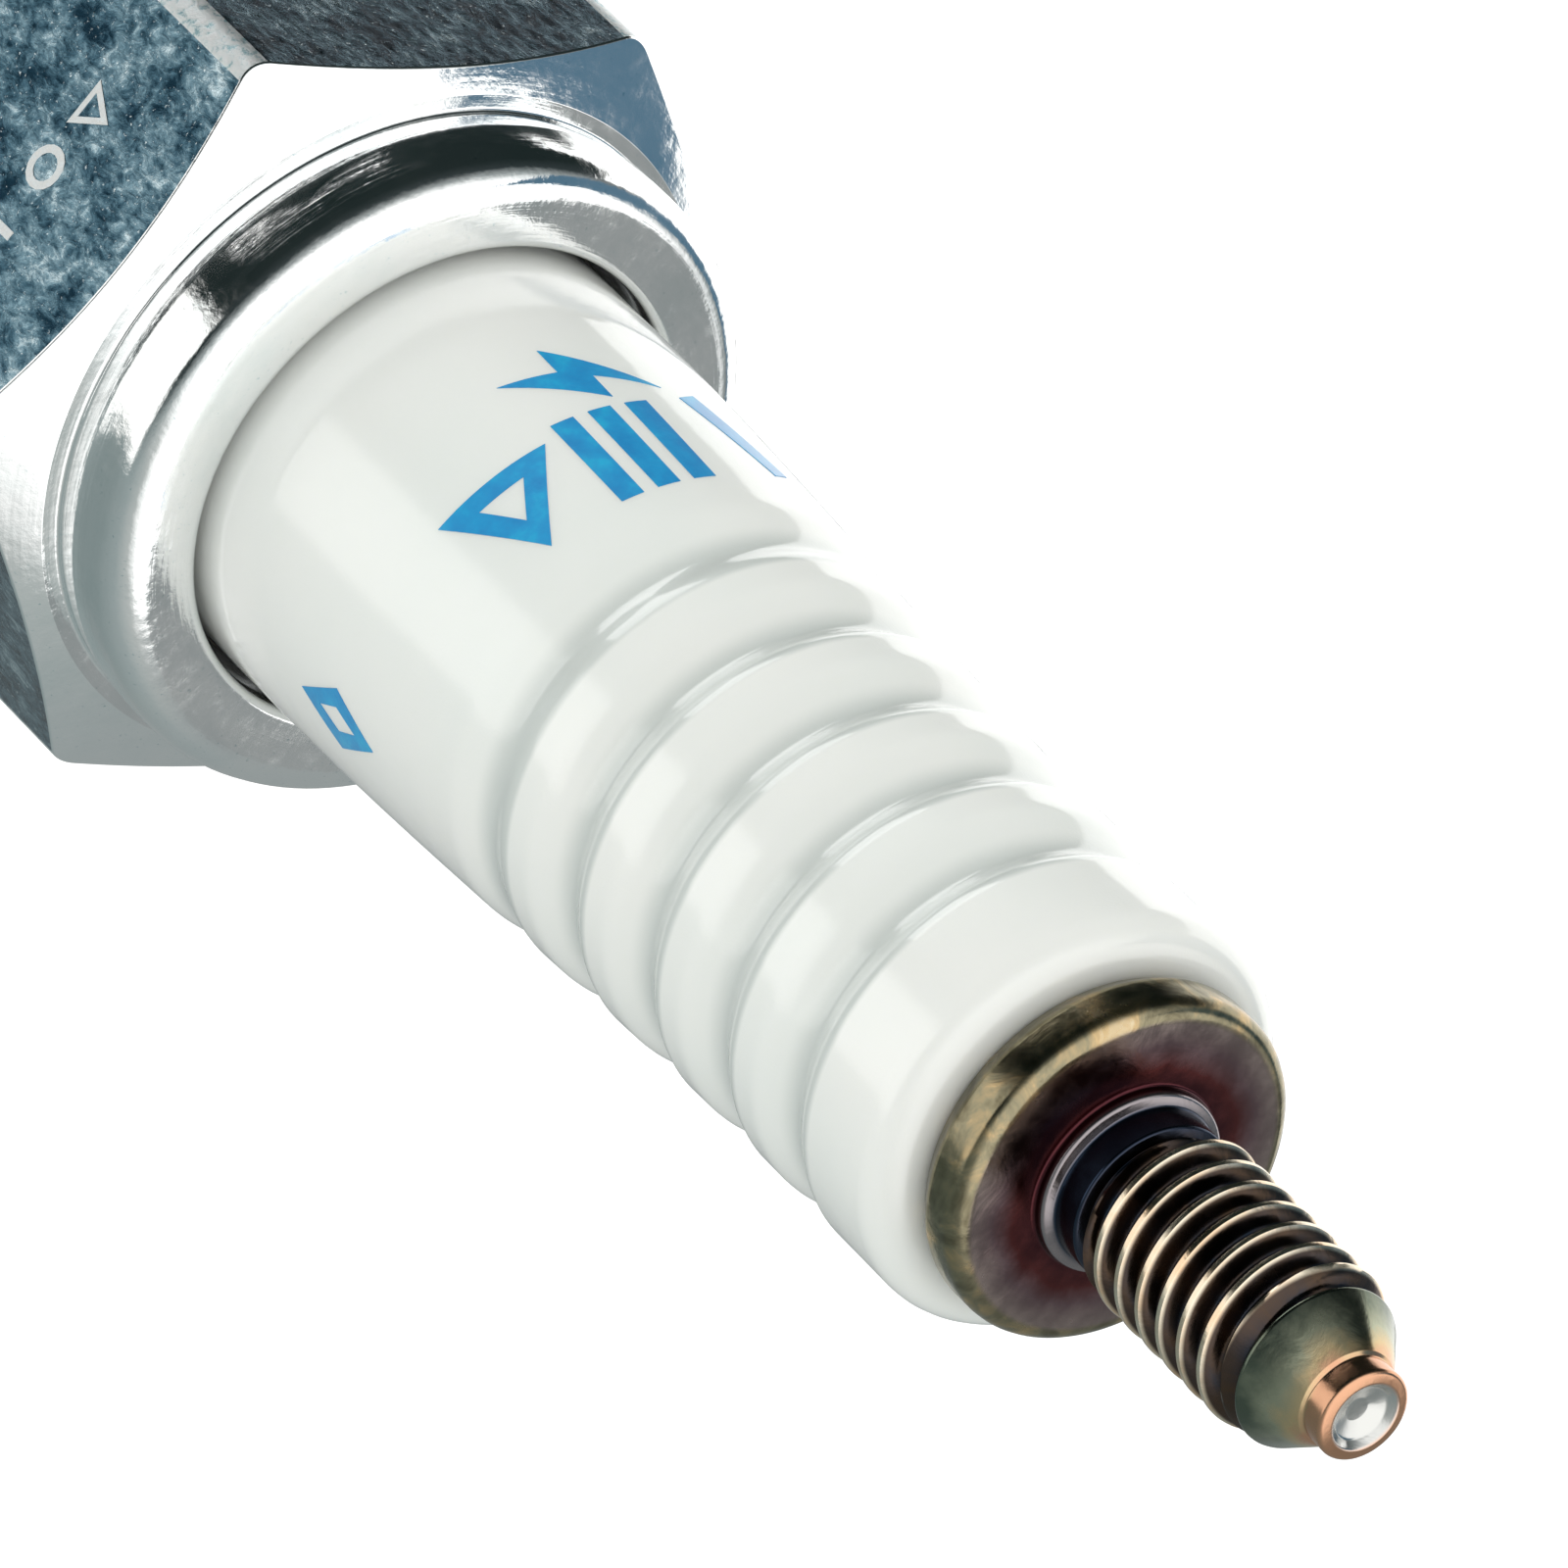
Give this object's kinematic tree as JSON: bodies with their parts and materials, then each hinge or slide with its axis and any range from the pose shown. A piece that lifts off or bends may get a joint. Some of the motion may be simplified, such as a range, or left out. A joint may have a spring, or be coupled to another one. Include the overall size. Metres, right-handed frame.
{
  "type": "spark plug",
  "caption": "Resistor spark plug with a crimped hexagon shell, ribbed ceramic insulator, bare threaded terminal, captive crush gasket and fine-tip electrodes.",
  "frame": {"origin": "centre of the shell's gasket seat, on the plug's axis", "axes": "+Z along the axis towards the terminal, +X towards the ground electrode's welded leg, flats of the hexagon face -Y and +Y"},
  "size_m": [0.0184, 0.016, 0.0727],
  "materials": {
    "plated_shell": "bright zinc-nickel plating, mirror on the collar and mottled on the hexagon",
    "plated_gasket": "plated sheet steel, satin",
    "glazed_insulator": null,
    "terminal_steel": "heat-tinted olive and bronze steel, glossy",
    "packing_steel": "plain steel",
    "talc": "pressed powder, dull",
    "conductive_glass": "opaque copper-filled glass",
    "resistor_glass": "carbon-filled glass, dull",
    "nickel_alloy": "drawn nickel alloy, satin",
    "copper": "drawn copper",
    "noble_metal": "sintered noble metal, bright"
  },
  "bodies": {
    "plug": {"shell": "plated_shell", "insulator": "glazed_insulator", "terminal_stud": "terminal_steel", "upper_packing_ring": "packing_steel", "talc_filling": "talc", "lower_packing_ring": "packing_steel", "seat_packing": "packing_steel", "upper_glass_seal": "conductive_glass", "resistor": "resistor_glass", "lower_glass_seal": "conductive_glass", "centre_electrode": "nickel_alloy", "copper_core": "copper", "centre_tip": "noble_metal", "ground_electrode": "nickel_alloy", "ground_tip": "noble_metal"},
    "gasket": {"gasket": "plated_gasket"}
  },
  "joints": [
    {"name": "gasket_slide", "type": "slide", "parent": "plug", "child": "gasket", "axis": [0, 0, 1], "range_m": [0, 0.00078]}
  ]
}
